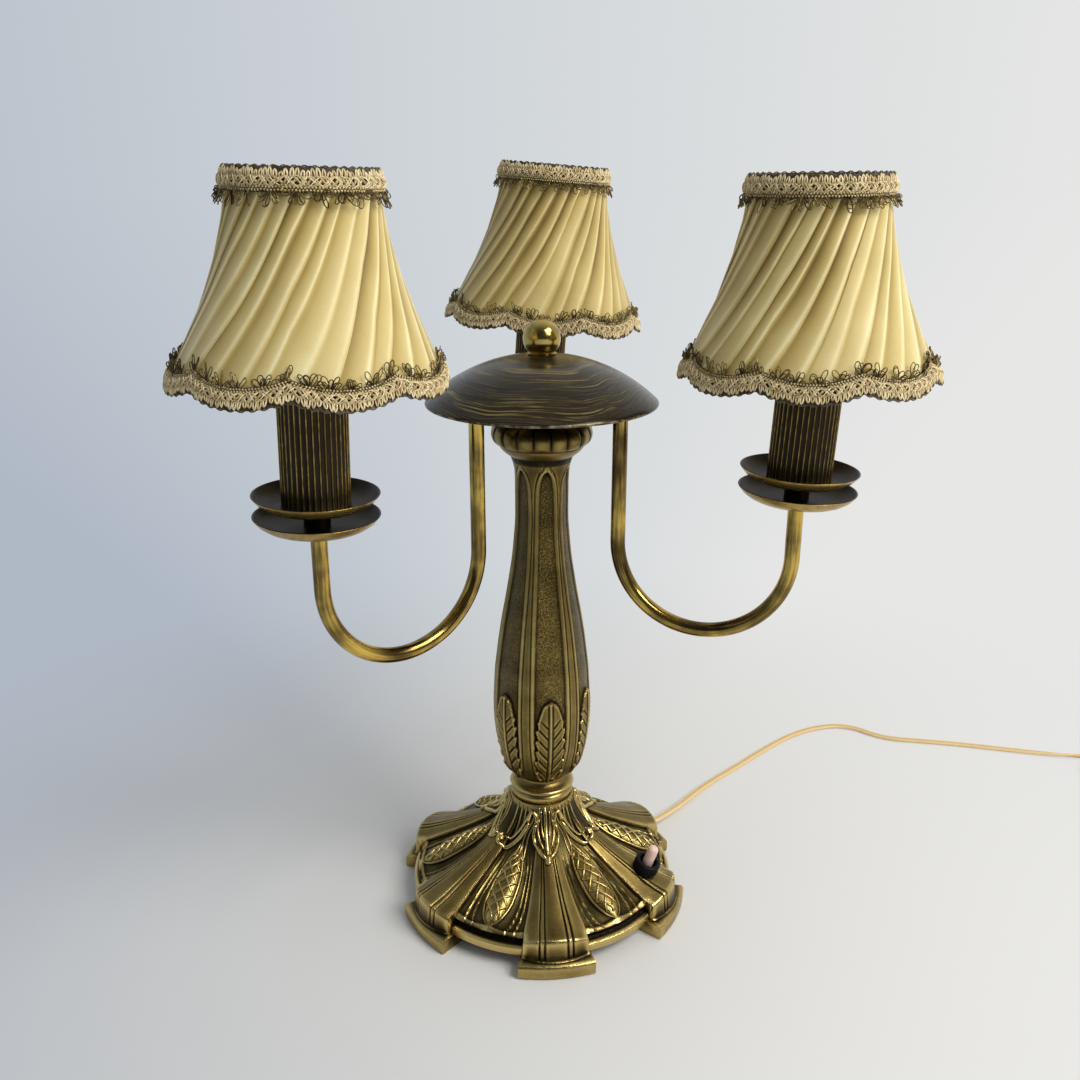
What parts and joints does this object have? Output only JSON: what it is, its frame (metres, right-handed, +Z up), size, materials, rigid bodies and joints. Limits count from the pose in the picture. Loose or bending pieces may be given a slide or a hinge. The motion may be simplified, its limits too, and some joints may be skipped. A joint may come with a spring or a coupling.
{
  "type": "candelabra table lamp",
  "caption": "Table lamp with a cast brass ray foot, a panelled column, bent tube arms under a shallow canopy, drip pans, candle bulbs and pleated clip-on shades.",
  "frame": {"origin": "the point on the floor under the column's axis", "axes": "+Z up along the column; -Y towards the front foot; +X to the right, towards the side where the cord lies"},
  "size_m": [0.6622, 0.3363, 0.4214],
  "materials": {
    "antique_brass": "cast and worn, dark in the recesses",
    "brown_lacquer": "gloss lacquer with gold streaks",
    "dark_bronze": "dark patina with worn golden edges",
    "brass_plain": "bright",
    "steel": "zinc plated",
    "black_plastic": "satin",
    "pale_plastic": "satin",
    "clear_flex": "translucent golden",
    "frosted_glass": "frosted",
    "wire": "white coated",
    "cream_silk": "pleated, slightly glossy",
    "gimp_braid": "woven braid with metallic loops"
  },
  "bodies": {
    "stand": {"base": "antique_brass", "base_washer": "steel", "base_nut": "steel", "tie_rod": "steel", "collar": "antique_brass", "column": "antique_brass", "capital": "antique_brass", "hub": "dark_bronze", "dome": "brown_lacquer", "finial": "antique_brass", "switch_case": "black_plastic", "switch_collar": "black_plastic", "cord_grommet": "black_plastic", "cord_lead": "clear_flex", "cord_coil": "clear_flex", "plug_body": "pale_plastic", "plug_pins": "brass_plain", "arm_left": "antique_brass", "lower_pan_left": "dark_bronze", "pan_spacer_left": "dark_bronze", "upper_pan_left": "dark_bronze", "stem_nut_left": "brass_plain", "candle_sleeve_left": "dark_bronze", "lampholder_left": "black_plastic", "arm_right": "antique_brass", "lower_pan_right": "dark_bronze", "pan_spacer_right": "dark_bronze", "upper_pan_right": "dark_bronze", "stem_nut_right": "brass_plain", "candle_sleeve_right": "dark_bronze", "lampholder_right": "black_plastic", "arm_back": "antique_brass", "lower_pan_back": "dark_bronze", "pan_spacer_back": "dark_bronze", "upper_pan_back": "dark_bronze", "stem_nut_back": "brass_plain", "candle_sleeve_back": "dark_bronze", "lampholder_back": "black_plastic"},
    "button": {"switch_button": "pale_plastic"},
    "bulb_left": {"bulb_cap_left": "brass_plain", "bulb_glass_left": "frosted_glass"},
    "shade_left": {"bulb_clip_left": "wire", "shade_frame_left": "wire", "shade_cover_left": "cream_silk", "top_braid_left": "gimp_braid", "bottom_braid_left": "gimp_braid"},
    "bulb_right": {"bulb_cap_right": "brass_plain", "bulb_glass_right": "frosted_glass"},
    "shade_right": {"bulb_clip_right": "wire", "shade_frame_right": "wire", "shade_cover_right": "cream_silk", "top_braid_right": "gimp_braid", "bottom_braid_right": "gimp_braid"},
    "bulb_back": {"bulb_cap_back": "brass_plain", "bulb_glass_back": "frosted_glass"},
    "shade_back": {"bulb_clip_back": "wire", "shade_frame_back": "wire", "shade_cover_back": "cream_silk", "top_braid_back": "gimp_braid", "bottom_braid_back": "gimp_braid"}
  },
  "joints": [
    {"name": "switch_press", "type": "slide", "parent": "stand", "child": "button", "axis": [-0.2748, 0.1587, -0.9483], "range_m": [0, 0.003], "stiffness_N_per_m": 250, "springref_m": -0.001},
    {"name": "bulb_turn_left", "type": "hinge", "parent": "stand", "child": "bulb_left", "pos_m": [-0.11255, -0.07563, 0.269], "axis": [0.026, -0.0026, 0.9997], "continuous": true},
    {"name": "shade_lift_left", "type": "slide", "parent": "bulb_left", "child": "shade_left", "axis": [0.026, -0.0026, 0.9997], "range_m": [0, 0.09]},
    {"name": "bulb_turn_right", "type": "hinge", "parent": "stand", "child": "bulb_right", "pos_m": [0.12388, -0.05515, 0.269], "axis": [0.0434, -0.0043, 0.999], "continuous": true},
    {"name": "shade_lift_right", "type": "slide", "parent": "bulb_right", "child": "shade_right", "axis": [0.0434, -0.0043, 0.999], "range_m": [0, 0.09]},
    {"name": "bulb_turn_back", "type": "hinge", "parent": "stand", "child": "bulb_back", "pos_m": [0.0097, 0.13525, 0.269], "axis": [0.0694, -0.0069, 0.9976], "continuous": true},
    {"name": "shade_lift_back", "type": "slide", "parent": "bulb_back", "child": "shade_back", "axis": [0.0694, -0.0069, 0.9976], "range_m": [0, 0.09]}
  ]
}
